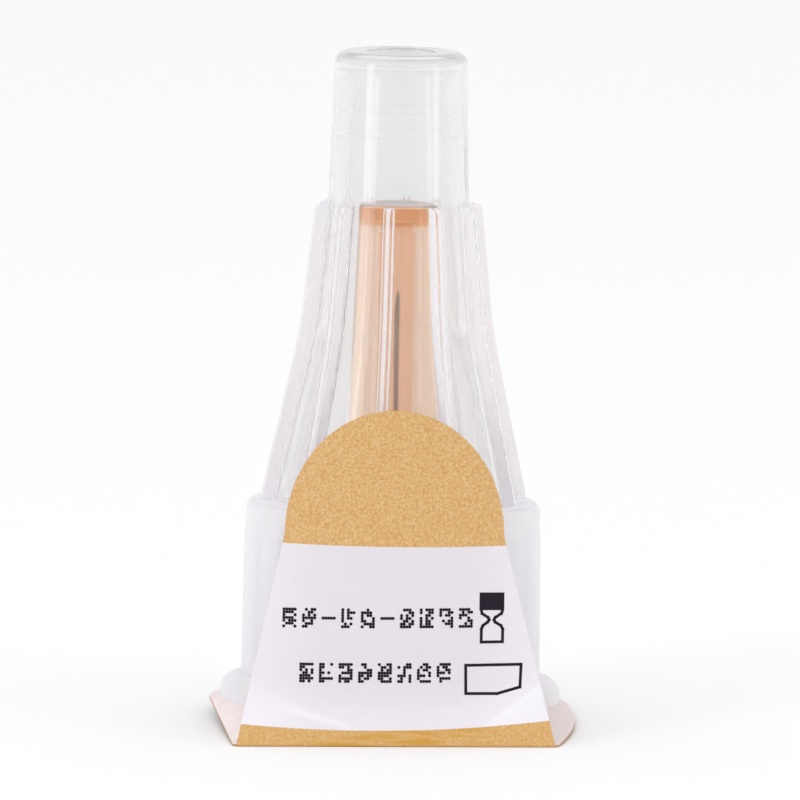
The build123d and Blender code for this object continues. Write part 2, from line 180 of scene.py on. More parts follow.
class Signal:
    """What a node puts out. Arithmetic on a signal adds the Math nodes that work it out."""

    def __init__(self, nodes, socket):
        self.nodes = nodes
        self.socket = socket

    def maths(self, operation, first, second=0.0):
        return self.nodes.node("ShaderNodeMath", {"operation": operation}, {0: first, 1: second})

    def __add__(self, other):
        return self.maths("ADD", self, other)

    def __radd__(self, other):
        return self.maths("ADD", other, self)

    def __sub__(self, other):
        return self.maths("SUBTRACT", self, other)

    def __rsub__(self, other):
        return self.maths("SUBTRACT", other, self)

    def __mul__(self, other):
        return self.maths("MULTIPLY", self, other)

    def __truediv__(self, other):
        return self.maths("DIVIDE", self, other)

    def __mod__(self, other):
        return self.maths("MODULO", self, other)

    def __lt__(self, other):
        return self.maths("LESS_THAN", self, other)

    def floor(self):
        return self.maths("FLOOR", self)

    def root(self):
        return self.maths("SQRT", self)

    def size(self):
        return self.maths("ABSOLUTE", self)

    def nearest(self):
        """The nearest whole number."""
        return self.maths("ROUND", self)

    def angle(self, across):
        """The angle, in radians, of a point with this signal as its Y and the other as its X."""
        return self.maths("ARCTAN2", self, across)

    def smaller(self, other):
        return self.maths("MINIMUM", self, other)

    def larger(self, other):
        return self.maths("MAXIMUM", self, other)

    def equals(self, other):
        """1 where both are the same whole number, and 0 elsewhere."""
        return (self - other).size() < 0.5

    def step(self, edge, blur):
        """1 over the edge and 0 under it, with a soft step between."""
        return self.nodes.node(
            "ShaderNodeMapRange",
            {"interpolation_type": "SMOOTHSTEP"},
            {"Value": self - edge, "From Min": -blur, "From Max": blur},
        )

    def ring(self, middle, half_width):
        """1 at the middle, and fading to 0 on both sides of it."""
        quarter = half_width / 2
        return self.step(middle - quarter, blur=quarter) - self.step(middle + quarter, blur=quarter)


class Nodes:
    """A node tree under construction."""

    def __init__(self, tree):
        self.tree = tree

    def add(self, kind, settings=None, inputs=None):
        """Adds a node: first its settings, then the values or links of its sockets."""
        made = self.tree.nodes.new(kind)
        for name, value in (settings or {}).items():
            setattr(made, name, value)
        for name, value in (inputs or {}).items():
            if isinstance(value, Signal):
                self.tree.links.new(value.socket, made.inputs[name])
            else:
                made.inputs[name].default_value = value
        return made

    def node(self, kind, settings=None, inputs=None, output=0):
        """Adds a node and gives what one of its sockets puts out."""
        return Signal(self, self.add(kind, settings, inputs).outputs[output])


class Finish(Nodes):
    """One material, built from nodes over places in the needle's own frame, in millimetres."""

    def __init__(self, name):
        self.material = bpy.data.materials.new(name)
        self.material.use_nodes = True
        super().__init__(self.material.node_tree)
        self.tree.nodes.clear()

    @cached_property
    def axes(self):
        """X, Y and Z of the place."""
        world_place = self.node("ShaderNodeTexCoord", output="Object")
        arm = self.node(
            "ShaderNodeVectorMath", {"operation": "SUBTRACT"}, {0: world_place, 1: tuple(FLANGE_CENTRE)}
        )
        return [
            self.node(
                "ShaderNodeVectorMath", {"operation": "DOT_PRODUCT"}, {0: arm, 1: tuple(way / MM)}, "Value"
            )
            for way in (RIGHT, BACK, AXIS)
        ]

    @cached_property
    def place(self):
        return self.node("ShaderNodeCombineXYZ", inputs=dict(enumerate(self.axes)))

    def noise(self, scale, detail=2.0, stretch=(1.0, 1.0, 1.0)):
        """Noise from 0 to 1, drawn out along an axis by a small stretch value there."""
        stretched = self.node("ShaderNodeVectorMath", {"operation": "MULTIPLY"}, {0: self.place, 1: stretch})
        return self.node("ShaderNodeTexNoise", inputs={"Vector": stretched, "Scale": scale, "Detail": detail})

    def blend(self, share, first, second):
        """A colour that goes from the first to the second as the share goes from 0 to 1."""
        ends = [end if isinstance(end, Signal) else (*end, 1.0) for end in (first, second)]
        return self.node("ShaderNodeMix", {"data_type": "RGBA"}, {0: share, 6: ends[0], 7: ends[1]}, 2)

    def bump(self, height, distance_mm, strength=1.0):
        return self.node(
            "ShaderNodeBump", inputs={"Height": height, "Distance": distance_mm * MM, "Strength": strength}
        )

    def principled(self, **sockets):
        inputs = {name.replace("_", " "): value for name, value in sockets.items()}
        return self.node("ShaderNodeBsdfPrincipled", inputs=inputs)

    def lit_through(self, shader, tint):
        """Lets the light of lamps through a clear wall, with a tint."""
        lamp_ray = self.node("ShaderNodeLightPath", output="Is Shadow Ray")
        way_through = self.node("ShaderNodeBsdfTransparent", inputs={"Color": (*tint, 1.0)})
        return self.node("ShaderNodeMixShader", inputs={0: lamp_ray, 1: shader, 2: way_through})

    def done(self, shader):
        self.add("ShaderNodeOutputMaterial", inputs={"Surface": shader})
        return self.material

    def painted(self, **sockets):
        """The material, done with a single shader."""
        return self.done(self.principled(**sockets))


def shade(colour, factor):
    """A colour made darker or lighter."""
    return tuple(min(value * factor, 1.0) for value in colour)


def give_finish(piece, material):
    """Puts the material in the piece's only slot."""
    piece.data.materials.clear()
    piece.data.materials.append(material)


def mesh_object(name, bm, *materials, placing=STANDING @ Matrix.Scale(MM, 4)):
    """A new object of a mesh, drawn in millimetres in the needle's own frame unless placed otherwise."""
    bm.transform(placing)
    mesh = bpy.data.meshes.new(name)
    for material in materials:
        mesh.materials.append(material)
    bm.to_mesh(mesh)
    bm.free()
    piece = bpy.data.objects.new(name, mesh)
    bpy.context.scene.collection.objects.link(piece)
    return piece


def grid_faces(bm, rows, material_index):
    """Faces between neighbouring rows of vertices."""
    for low, high in zip(rows, rows[1:]):
        for i in range(len(low) - 1):
            face = bm.faces.new((low[i], low[i + 1], high[i + 1], high[i]))
            face.material_index = material_index


class PENNEEDLE_PG_plastic(bpy.types.PropertyGroup):
    cap_tint: FloatVectorProperty(
        name="Cap tint", description="Colour that each wall of the cap takes from the light",
        subtype="COLOR", min=0, max=1, default=(0.912, 0.914, 0.918),
    )
    cap_milk: FloatVectorProperty(
        name="Cap milk", description="Colour of the light that the cap's haze scatters",
        subtype="COLOR", min=0, max=1, default=(0.975, 0.965, 0.995),
    )
    cap_glow: FloatProperty(
        name="Cap glow", description="Share of the haze that passes light on from behind",
        subtype="FACTOR", min=0, max=1, default=0.3,
    )
    cap_haze: FloatProperty(
        name="Cap haze", description="Share of the light that a clear wall scatters",
        subtype="FACTOR", min=0, max=1, default=0.04,
    )
    cap_edge_haze: FloatProperty(
        name="Cap edge haze", description="How much more a wall scatters when it is seen edge-on",
        subtype="FACTOR", min=0, max=1, default=0.6,
    )
    cap_base_haze: FloatProperty(
        name="Cap base haze", description="How much more the cap's thick base scatters",
        subtype="FACTOR", min=0, max=1, default=0.55,
    )
    cap_rib_haze: FloatProperty(
        name="Cap rib haze", description="How much more the cap's ribs scatter",
        subtype="FACTOR", min=0, max=1, default=0.8,
    )
    shield_tint: FloatVectorProperty(
        name="Shield tint", description="Colour that each wall of the shield takes from the light",
        subtype="COLOR", min=0, max=1, default=(0.95, 0.71, 0.52),
    )
    shield_end_tint: FloatVectorProperty(
        name="Shield end tint", description="Colour of the shield's solid end",
        subtype="COLOR", min=0, max=1, default=(0.80, 0.30, 0.05),
    )


class PENNEEDLE_PG_needle(bpy.types.PropertyGroup):
    hub_low: FloatVectorProperty(
        name="Hub, low grain", description="Colour of the hub's darker grain",
        subtype="COLOR", min=0, max=1, default=(0.80, 0.80, 0.81),
    )
    hub_high: FloatVectorProperty(
        name="Hub, high grain", description="Colour of the hub's lighter grain",
        subtype="COLOR", min=0, max=1, default=(0.88, 0.88, 0.88),
    )
    steel_low: FloatVectorProperty(
        name="Steel, low lines", description="Colour of the darker lines of the drawn steel",
        subtype="COLOR", min=0, max=1, default=(0.13, 0.085, 0.065),
    )
    steel_high: FloatVectorProperty(
        name="Steel, high lines", description="Colour of the lighter lines of the drawn steel",
        subtype="COLOR", min=0, max=1, default=(0.21, 0.145, 0.115),
    )
    adhesive_low: FloatVectorProperty(
        name="Adhesive, dark", description="Colour of the adhesive's darker clouds",
        subtype="COLOR", min=0, max=1, default=(0.90, 0.88, 0.80),
    )
    adhesive_high: FloatVectorProperty(
        name="Adhesive, light", description="Colour of the adhesive's lighter clouds",
        subtype="COLOR", min=0, max=1, default=(0.95, 0.94, 0.90),
    )


class PENNEEDLE_PG_paper(bpy.types.PropertyGroup):
    gold_low: FloatVectorProperty(
        name="Gold, low grain", description="Colour of the darker grain of the seal's gold fields",
        subtype="COLOR", min=0, max=1, default=(0.675, 0.355, 0.106),
    )
    gold_high: FloatVectorProperty(
        name="Gold, high grain", description="Colour of the lighter grain of the seal's gold fields",
        subtype="COLOR", min=0, max=1, default=(0.775, 0.535, 0.253),
    )
    gold_speck: FloatVectorProperty(
        name="Gold, specks", description="Colour of the fine specks in the seal's gold fields",
        subtype="COLOR", min=0, max=1, default=(0.60, 0.27, 0.07),
    )
    gold_deep: FloatVectorProperty(
        name="Gold, at the fold", description="Colour that the gold goes towards in the strip at the fold",
        subtype="COLOR", min=0, max=1, default=(0.64, 0.33, 0.035),
    )
    field: FloatVectorProperty(
        name="White field", description="Colour of the field between the gold ones",
        subtype="COLOR", min=0, max=1, default=(0.80, 0.755, 0.805),
    )
    # The colour of the painted highlight on the white field
    field_light: FloatVectorProperty(
        name="White field, light", description="Colour of the white field where it catches light",
        subtype="COLOR", min=0, max=1, default=(0.93, 0.905, 0.96),
    )
    inner_side: FloatVectorProperty(
        name="Inner side", description="Colour of the paper's unprinted side",
        subtype="COLOR", min=0, max=1, default=(0.87, 0.76, 0.755),
    )
    cut_edge: FloatVectorProperty(
        name="Cut edge", description="Colour of the paper's cut edge",
        subtype="COLOR", min=0, max=1, default=(0.60, 0.36, 0.22),
    )
    columns: IntProperty(name="Columns", description="Faces across the tab", min=12, max=160, default=72)


class PENNEEDLE_PG_print(bpy.types.PropertyGroup):
    ink: FloatVectorProperty(
        name="Ink", description="Colour of the marks on the tab",
        subtype="COLOR", min=0, max=1, default=(0.013, 0.007, 0.017),
    )
    lift: FloatProperty(
        name="Lift", description="How far the ink stands off the paper",
        unit="LENGTH", precision=6, default=0.00001,
    )
    stroke: FloatProperty(
        name="Stroke", description="Width of the drawn lines",
        unit="LENGTH", precision=6, default=0.00015,
    )
    dot_pitch: FloatProperty(
        name="Dot pitch", description="Distance between two printed dots",
        unit="LENGTH", precision=6, default=0.000147,
    )
    dot_radius: FloatProperty(
        name="Dot radius", description="Radius of a printed dot",
        unit="LENGTH", precision=6, default=0.000088,
    )
    printed_share: FloatProperty(
        name="Printed share", description="Share of a block's dots that are printed",
        subtype="FACTOR", min=0, max=1, default=0.58,
    )
    seed: IntProperty(name="Seed", description="Seed of the missing dots", default=11)


class PENNEEDLE_PG_studio(bpy.types.PropertyGroup):
    elevation: FloatProperty(
        name="Elevation", description="How far the camera looks down on the plane square to the needle",
        subtype="ANGLE", default=radians(5.5),
    )
    roll: FloatProperty(
        name="Roll", description="Turn of the camera about its line of sight",
        subtype="ANGLE", default=radians(0.18),
    )
    distance: FloatProperty(
        name="Distance", description="From the camera to the needle", unit="LENGTH", default=2.0,
    )
    surround: FloatProperty(
        name="Surround", description="Strength of the light all round", min=0.0, default=0.74,
    )


def wall_radius(height, low, high):
    """The radius at a height on a straight wall between two points (height, radius), and on beyond."""
    slope = (high[1] - low[1]) / (high[0] - low[0])
    return (height - low[0]) * slope + low[1]


def rib_shares(x, y, radius, height):
    """1 on the cap's ribs and 0 elsewhere, and the same with almost 0 on both edges of each crest."""
    low_cone = wall_radius(height, CAP_LEDGE, CAP_WAIST)
    high_cone = wall_radius(height, CAP_WAIST, CAP_NOSE_FOOT)
    outside = radius.step(low_cone.larger(high_cone) + RIB_STAND_OFF, blur=0.2)
    ribbed = height.step(CAP_LEDGE[0], blur=0.1) - height.step(CAP_NOSE_FOOT[0], blur=0.1)
    turn = (y.angle(x) - RIB_TURN) / RIB_ARC
    aside = (turn - turn.nearest()).size() * RIB_ARC * radius
    clear_from, clear_to = (RIB_HALF_T * share for share in CREST_CLEAR)
    crest_edge = aside.step(clear_from, blur=0.04) - aside.step(clear_to, blur=0.02)
    rib = outside * ribbed
    return rib, rib * (1.0 - crest_edge * 0.92)


def cap_finish(looks):
    """Clear moulded plastic with a milky haze, which is denser in the base and the ribs, at the steps
    of the bore and where a wall is seen edge-on."""
    finish = Finish("clear_moulded_plastic")
    x, y, height = finish.axes
    radius = (x * x + y * y).root()
    flow = finish.noise(scale=1.1, detail=3.0, stretch=(1.0, 1.0, 0.1))
    grain = finish.noise(scale=14.0)
    skin = finish.bump(flow * 0.8 + grain * 0.2, distance_mm=0.003, strength=0.12)
    rib, rib_milk = rib_shares(x, y, radius, height)
    clear = finish.principled(
        Base_Color=(*looks.cap_tint, 1.0),
        Roughness=flow * 0.04 + rib * 0.15 + 0.06,
        IOR=1.49,
        Transmission_Weight=1.0,
        Normal=skin,
    )
    front = finish.principled(
        Base_Color=(*looks.cap_milk, 1.0), Roughness=flow * 0.1 + 0.25, IOR=1.49, Normal=skin
    )
    back = finish.node("ShaderNodeBsdfTranslucent", inputs={"Color": (*looks.cap_milk, 1.0), "Normal": skin})
    milk = finish.node("ShaderNodeMixShader", inputs={0: looks.cap_glow, 1: front, 2: back})
    edge_on = finish.node("ShaderNodeLayerWeight", inputs={"Blend": 0.5}, output="Facing")
    base = 1.0 - height.step(CAP_LEDGE[0], blur=0.4)
    bore_wall = 1.0 - radius.step(NOSE_WALL_MIDDLE_R, blur=0.2)
    haze = edge_on * edge_on * looks.cap_edge_haze + base * looks.cap_base_haze
    haze = haze + rib_milk * looks.cap_rib_haze + looks.cap_haze
    for step_z, corner_haze in BORE_STEPS:
        haze = haze + height.ring(step_z, half_width=0.1) * bore_wall * corner_haze
    shader = finish.node("ShaderNodeMixShader", inputs={0: haze.smaller(1.0), 1: clear, 2: milk})
    return finish.done(finish.lit_through(shader, looks.cap_tint))


def shield_finish(looks):
    """Tinted clear plastic, deeper in colour where the end is solid, with fine mould lines under it."""
    finish = Finish("tinted_clear_plastic")
    _, _, height = finish.axes
    flow = finish.noise(scale=1.8, stretch=(1.0, 1.0, 0.1))
    lines = sum(height.ring(line_z, half_width=0.05) for line_z in SHIELD_LINES_Z)
    end_foot, end_top = SHIELD_END_Z
    solid_end = height.step(end_foot, blur=0.1) - height.step(end_top, blur=0.06)
    tint = finish.blend(solid_end, looks.shield_tint, looks.shield_end_tint)
    shader = finish.principled(
        Base_Color=finish.blend(lines * 0.5, tint, looks.shield_end_tint),
        Roughness=flow * 0.04 + 0.07,
        IOR=1.49,
        Transmission_Weight=0.92,
        Normal=finish.bump(flow, distance_mm=0.005, strength=0.4),
    )
    return finish.done(finish.lit_through(shader, looks.shield_tint))


def hub_finish(looks):
    """White moulded plastic with a soft sheen."""
    finish = Finish("white_moulded_plastic")
    grain = finish.noise(scale=9.0, detail=3.0)
    return finish.painted(
        Base_Color=finish.blend(grain, looks.hub_low, looks.hub_high),
        Roughness=grain * 0.12 + 0.38,
        IOR=1.49,
        Normal=finish.bump(grain, distance_mm=0.01, strength=0.5),
    )


def steel_finish(looks):
    """Drawn steel with fine lines along the tube."""
    finish = Finish("drawn_steel")
    lines = finish.noise(scale=30.0, stretch=(1.0, 1.0, 0.04))
    return finish.painted(
        Base_Color=finish.blend(lines, looks.steel_low, looks.steel_high),
        Metallic=1.0,
        Roughness=lines * 0.18 + 0.22,
    )


def adhesive_finish(looks):
    """Cured clear adhesive, slightly yellow."""
    finish = Finish("cured_adhesive")
    cloud = finish.noise(scale=4.0)
    shader = finish.principled(
        Base_Color=finish.blend(cloud, looks.adhesive_low, looks.adhesive_high),
        Roughness=cloud * 0.1 + 0.1,
        IOR=1.5,
        Transmission_Weight=0.8,
    )
    return finish.done(finish.lit_through(shader, looks.adhesive_high))


def field_edge(x, terms):
    """The height of an edge of the tab's white field."""
    square, slope, height = terms
    return x * x * square + x * slope + height


def painted_field_highlights(x, z):
    """Painted highlight on the white field, as how much lighter it is: along the left crease, under the right
    one, and towards its sides and its foot. It stands in for the light that the creased, bent paper catches."""
    over_left = z - x * LEFT_CREASE[0] - LEFT_CREASE[1]
    under_right = x * RIGHT_CREASE[0] + RIGHT_CREASE[1] - z
    left_start, left_end = LEFT_CREASE_X
    left = over_left.ring(0.0, half_width=0.3)
    left = left * x.step(left_start, blur=0.9) * (1.0 - x.step(left_end, blur=0.8))
    right = under_right.step(0.05, blur=0.1) * (1.0 - under_right.step(RIGHT_CREASE_REACH, blur=0.8))
    sides = x.size().step(FIELD_SIDE_X, blur=2.4)
    foot = 1.0 - z.step(FIELD_LOW_Z, blur=1.2)
    return (left * 0.45 + right * 0.4 + sides * 0.5 + foot * 0.35).smaller(1.0)


def printed_finish(looks):
    """The seal's outside: gold with a fine grain, and a white field across the tab."""
    finish = Finish("printed_paper_outside")
    x, _, z = finish.axes
    grain = finish.noise(scale=8.0, detail=4.0)
    specks = finish.noise(scale=9.0, stretch=(1.0, 1.0, 0.7))
    mottle = finish.noise(scale=2.2)
    fibre = finish.noise(scale=30.0, stretch=(1.0, 1.0, 0.4))
    flow = finish.noise(scale=1.3, detail=4.0, stretch=(0.3, 1.0, 3.5))
    ragged = z + fibre * 0.05
    over_foot = ragged.step(field_edge(x, FIELD_FOOT), blur=0.03)
    over_top = ragged.step(field_edge(x, FIELD_TOP), blur=0.03)
    field = over_foot * (1.0 - over_top)
    grained = finish.blend(grain.step(0.5, blur=0.2), looks.gold_low, looks.gold_high)
    specked = finish.blend(specks.step(0.62, blur=0.12) * 0.55, grained, looks.gold_speck)
    streaked = 1.0 - (x - STREAKS_X).size().step(STREAKS_HALF_W, blur=1.6)
    streaks = flow.step(0.52, blur=0.12) * streaked
    deep = (1.0 - z.step(0.5, blur=0.5)) * (streaks * 0.85 + 0.2)
    gold = finish.blend(deep, specked, looks.gold_deep)
    plain = finish.blend(mottle, shade(looks.field, 0.99), shade(looks.field, 1.02))
    # The white field with its painted highlights, which blend it towards a lighter, bluish colour
    white = finish.blend(painted_field_highlights(x, z), plain, looks.field_light)
    return finish.painted(
        Base_Color=finish.blend(field, gold, white),
        Roughness=field * 0.12 + 0.5,
        Normal=finish.bump(grain * 0.5 + fibre * 0.5, distance_mm=0.012, strength=0.5),
    )


def inner_finish(looks):
    """The seal's unprinted side: pale, with darker waxy clouds where it was sealed, and painted shade that makes
    it lighter on the left and darker towards the right.
    """
    finish = Finish("paper_inner_side")
    x, _, _ = finish.axes
    mottle = finish.noise(scale=1.1, detail=3.0).step(0.55, blur=0.16)
    fibre = finish.noise(scale=18.0)
    # Painted shade: lighter on the left and darker towards the right, as if lit from the left
    painted_shade_to_right = x.step(2.0, blur=7.0)
    paper = finish.blend(painted_shade_to_right, shade(looks.inner_side, 1.06), shade(looks.inner_side, 0.88))
    return finish.painted(
        Base_Color=finish.blend(mottle * 0.35, paper, shade(looks.inner_side, 0.84)),
        Roughness=fibre * 0.2 + 0.45,
        Normal=finish.bump(fibre, distance_mm=0.012, strength=0.5),
    )


def edge_finish(looks):
    """The cut edge of the paper."""
    finish = Finish("paper_cut_edge")
    fibre = finish.noise(scale=12.0, detail=3.0)
    return finish.painted(
        Base_Color=finish.blend(fibre, shade(looks.cut_edge, 0.85), looks.cut_edge), Roughness=0.8
    )


def ink_finish(looks):
    """Printer's ink, thin and a little paler where the paper was rough."""
    finish = Finish("printed_ink")
    thin = finish.noise(scale=10.0, detail=3.0)
    thin_ink = tuple(value + THIN_INK_PALER for value in looks.ink)
    return finish.painted(
        Base_Color=finish.blend(thin, looks.ink, thin_ink),
        Roughness=0.55,
        Specular_IOR_Level=0.1,
    )


class PENNEEDLE_OT_outer_cap(bpy.types.Operator):
    """Give the outer cap its clear moulded plastic"""

    bl_idname = "penneedle.outer_cap"
    bl_label = "Outer Cap"

    def execute(self, context):
        give_finish(frame["nodes"]["outer_cap"], cap_finish(context.scene.penneedle_plastic))
        return {"FINISHED"}


class PENNEEDLE_OT_inner_shield(bpy.types.Operator):
    """Give the inner shield its tinted clear plastic"""

    bl_idname = "penneedle.inner_shield"
    bl_label = "Inner Shield"

    def execute(self, context):
        give_finish(frame["nodes"]["inner_shield"], shield_finish(context.scene.penneedle_plastic))
        return {"FINISHED"}


class PENNEEDLE_OT_needle(bpy.types.Operator):
    """Give the hub, the cannula and its adhesive their materials"""

    bl_idname = "penneedle.needle"
    bl_label = "Hub and Cannula"

    def execute(self, context):
        looks = context.scene.penneedle_needle
        give_finish(frame["nodes"]["needle_hub"], hub_finish(looks))
        give_finish(frame["nodes"]["cannula"], steel_finish(looks))
        give_finish(frame["nodes"]["adhesive_bead"], adhesive_finish(looks))
        return {"FINISHED"}


class PENNEEDLE_OT_peel_seal(bpy.types.Operator):
    """Make the paper seal: its glued disc, the margin that droops to the fold, and the tab folded up"""

    bl_idname = "penneedle.peel_seal"
    bl_label = "Peel Seal"

    OUTSIDE = 0
    INSIDE = 1
    CUT = 2
    SHARPEST_SMOOTH = radians(40)
    MERGE_DISTANCE = 0.0005
    MARGIN_RINGS = 7
    TAPER_ROWS = 44
    ARCH_ROWS = 30
    ROW_CROWDING = 1.6
    FOLD_NOSE_ANGLES = (0, radians(30), radians(60))
    DROOP_EXPONENT = 1.15

    def execute(self, context):
        looks = context.scene.penneedle_paper
        bm = bmesh.new()
        self.add_disc_and_margin(bm, looks.columns)
        self.add_tab(bm, looks.columns)
        bmesh.ops.remove_doubles(bm, verts=bm.verts, dist=self.MERGE_DISTANCE)
        self.close_fold_ends(bm)
        bmesh.ops.recalc_face_normals(bm, faces=bm.faces)
        for face in bm.faces:
            face.smooth = True
        for edge in bm.edges:
            one_side = len({face.material_index for face in edge.link_faces}) == 1
            edge.smooth = one_side and edge.calc_face_angle(0.0) < self.SHARPEST_SMOOTH
        seal = mesh_object("paper_seal", bm, printed_finish(looks), inner_finish(looks), edge_finish(looks))
        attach(seal, CAP_BODY)
        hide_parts("peel_seal")
        return {"FINISHED"}

    def margin_columns(self, across):
        """Each column of the margin: its start on the glue's edge, its end on the paper's edge, and
        whether the tab is attached there."""
        left_turn = atan2(FOLD_REACH, -FOLD_LEFT_X)
        right_turn = atan2(FOLD_REACH, FOLD_RIGHT_X)
        left_end = Vector((-SEAL_R, 0, 0))
        right_end = Vector((SEAL_R, 0, -LOBE_END_DROP))
        fold_left = Vector((FOLD_LEFT_X, -FOLD_REACH, fold_z(FOLD_LEFT_X)))
        fold_right = Vector((FOLD_RIGHT_X, -FOLD_REACH, fold_z(FOLD_RIGHT_X)))
        lobe = Vector((LOBE_X, -FOLD_REACH / 2, -LOBE_DROP))
        side_count = across // 2
        columns = []

        def add_column(angle, end, attached=False):
            columns.append((Vector((GLUE_R * cos(angle), GLUE_R * sin(angle), 0)), end, attached))

        for i in range(side_count):
            share = i / side_count
            add_column(pi + left_turn * share, left_end.lerp(fold_left, share))
        tab_xs = [between(TAB_FOLD_LEFT_X, TAB_FOLD_RIGHT_X, i / across) for i in range(across + 1)]
        for x in (FOLD_LEFT_X, *tab_xs):
            share = (x - FOLD_LEFT_X) / (FOLD_RIGHT_X - FOLD_LEFT_X)
            angle = between(pi + left_turn, 2 * pi - right_turn, share)
            attached = TAB_FOLD_LEFT_X <= x < TAB_FOLD_RIGHT_X
            add_column(angle, Vector((x, -FOLD_REACH, fold_z(x))), attached)
        for i in range(side_count):
            share = i / side_count
            add_column(right_turn * (share - 1), through(fold_right, lobe, right_end, share))
        for i in range(2 * side_count + 1):
            angle = pi * i / (2 * side_count)
            drop = LOBE_END_DROP * max(1 - angle / LOBE_ANGLE, 0) ** 2
            add_column(angle, Vector((SEAL_R * cos(angle), SEAL_R * sin(angle), -drop)))
        return columns

    def margin_point(self, inner, outer, share):
        """A point of the margin's upper side, which leaves the glue flat and droops more and more."""
        point = inner.lerp(outer, share)
        away = (point.xy - CRUMPLE).length / CRUMPLE_R
        point.z = outer.z * share**self.DROOP_EXPONENT + CRUMPLE_H * exp(-away * away)
        return point

    def add_disc_and_margin(self, bm, across):
        columns = self.margin_columns(across)
        rims = []
        for drop, side in ((0, self.INSIDE), (PAPER_T, self.OUTSIDE)):
            rows = []
            for i in range(self.MARGIN_RINGS + 1):
                share = i / self.MARGIN_RINGS
                points = [self.margin_point(start, end, share) for start, end, _ in columns]
                rows.append([bm.verts.new((point.x, point.y, point.z - drop)) for point in points])
            grid_faces(bm, rows, side)
            disc = bm.faces.new(rows[0][:-1])
            disc.material_index = side
            rims.append(rows[-1])
        for i, (_, _, attached) in enumerate(columns[:-1]):
            if not attached:
                grid_faces(bm, [rim[i:i + 2] for rim in rims], self.CUT)

    def tab_rows(self, across):
        """Rows of points (x, z) up the tab: the tapered part, closer together near the fold, then the
        arch."""
        neck_x = (TAB_NECK_LEFT_X + TAB_NECK_RIGHT_X) / 2
        neck_half_w = (TAB_NECK_RIGHT_X - TAB_NECK_LEFT_X) / 2
        rows = []
        for i in range(self.TAPER_ROWS):
            share = (i / self.TAPER_ROWS) ** self.ROW_CROWDING
            left = between(TAB_FOLD_LEFT_X, TAB_NECK_LEFT_X, share)
            right = between(TAB_FOLD_RIGHT_X, TAB_NECK_RIGHT_X, share)
            xs = [between(left, right, j / across) for j in range(across + 1)]
            rows.append([(x, between(fold_z(x), TAB_NECK_Z, share)) for x in xs])
        for i in range(self.ARCH_ROWS + 1):
            angle = pi / 2 * i / self.ARCH_ROWS
            half_w = neck_half_w * cos(angle)
            z = TAB_NECK_Z + TAB_ARCH_H * sin(angle)
            rows.append([(neck_x + half_w * (2 * j / across - 1), z) for j in range(across + 1)])
        return rows

    def add_tab(self, bm, across):
        """The tab's two sides and its cut edge, and the rounded outside of the fold."""
        rows = self.tab_rows(across)
        front = [[bm.verts.new((x, tab_y(x, z), z)) for x, z in row] for row in rows]
        back = [[bm.verts.new((x, tab_y(x, z) + PAPER_T, z)) for x, z in row] for row in rows]
        for vertex in back[0]:
            vertex.co.y = -FOLD_REACH
        nose = []
        for angle in self.FOLD_NOSE_ANGLES:
            y = -FOLD_REACH - PAPER_T * sin(angle)
            nose.append([bm.verts.new((x, y, z - PAPER_T * cos(angle))) for x, z in rows[0]])
        grid_faces(bm, nose + front, self.OUTSIDE)
        grid_faces(bm, back, self.INSIDE)
        for column in (0, -1):
            grid_faces(bm, [[row[column] for row in side] for side in (front, back)], self.CUT)

    def close_fold_ends(self, bm):
        rim = [edge for edge in bm.edges if edge.is_boundary]
        for face in bmesh.ops.holes_fill(bm, edges=rim)["faces"]:
            face.material_index = self.CUT


class PENNEEDLE_OT_drawn_marks(bpy.types.Operator):
    """Draw the hourglass mark and the empty tag frame on the tab"""

    bl_idname = "penneedle.drawn_marks"
    bl_label = "Drawn Marks"

    # Corners as (x, z) on the tab, in millimetres
    HOURGLASS_TOP = (Vector((4.62, 5.60)), Vector((5.92, 6.52)))
    HOURGLASS_OUTLINE = (
        (4.72, 5.60), (4.76, 5.43), (5.08, 5.22), (5.14, 5.10), (5.06, 4.98), (4.82, 4.80), (4.74, 4.62),
        (4.74, 3.94), (5.86, 3.96), (5.86, 4.62), (5.76, 4.80), (5.46, 4.98), (5.40, 5.10), (5.46, 5.22),
        (5.78, 5.43), (5.84, 5.60),
    )
    TAG_OUTLINE = ((3.95, 2.73), (6.86, 2.79), (6.82, 1.62), (5.62, 1.27), (3.98, 1.26), (3.95, 2.73))
    LONGEST_PIECE = 0.25
    BLOCK_FACES = 6

    def execute(self, context):
        looks = context.scene.penneedle_print
        self.lift = looks.lift / MM
        self.half_stroke = looks.stroke / MM / 2
        bm = bmesh.new()
        self.add_block(bm, *self.HOURGLASS_TOP)
        self.add_line(bm, self.HOURGLASS_OUTLINE)
        self.add_line(bm, self.TAG_OUTLINE)
        marks = mesh_object("drawn_marks", bm, ink_finish(looks))
        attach(marks, CAP_BODY)
        return {"FINISHED"}

    def vertex_on_tab(self, bm, point):
        return bm.verts.new((point.x, tab_y(point.x, point.y) - self.lift, point.y))

    def add_block(self, bm, low, high):
        shares = [i / self.BLOCK_FACES for i in range(self.BLOCK_FACES + 1)]
        rows = []
        for up in shares:
            z = between(low.y, high.y, up)
            points = [Vector((between(low.x, high.x, across), z)) for across in shares]
            rows.append([self.vertex_on_tab(bm, point) for point in points])
        grid_faces(bm, rows, 0)

    def add_line(self, bm, corners):
        """A line through the corners, in short pieces that follow the tab's bow."""
        for corner, next_corner in zip(corners, corners[1:]):
            start, end = Vector(corner), Vector(next_corner)
            along = (end - start).normalized() * self.half_stroke
            aside = Vector((-along.y, along.x))
            count = ceil((end - start).length / self.LONGEST_PIECE)
            middle = [(start - along).lerp(end + along, i / count) for i in range(count + 1)]
            rows = [[self.vertex_on_tab(bm, point + side * aside) for point in middle] for side in (-1, 1)]
            grid_faces(bm, rows, 0)


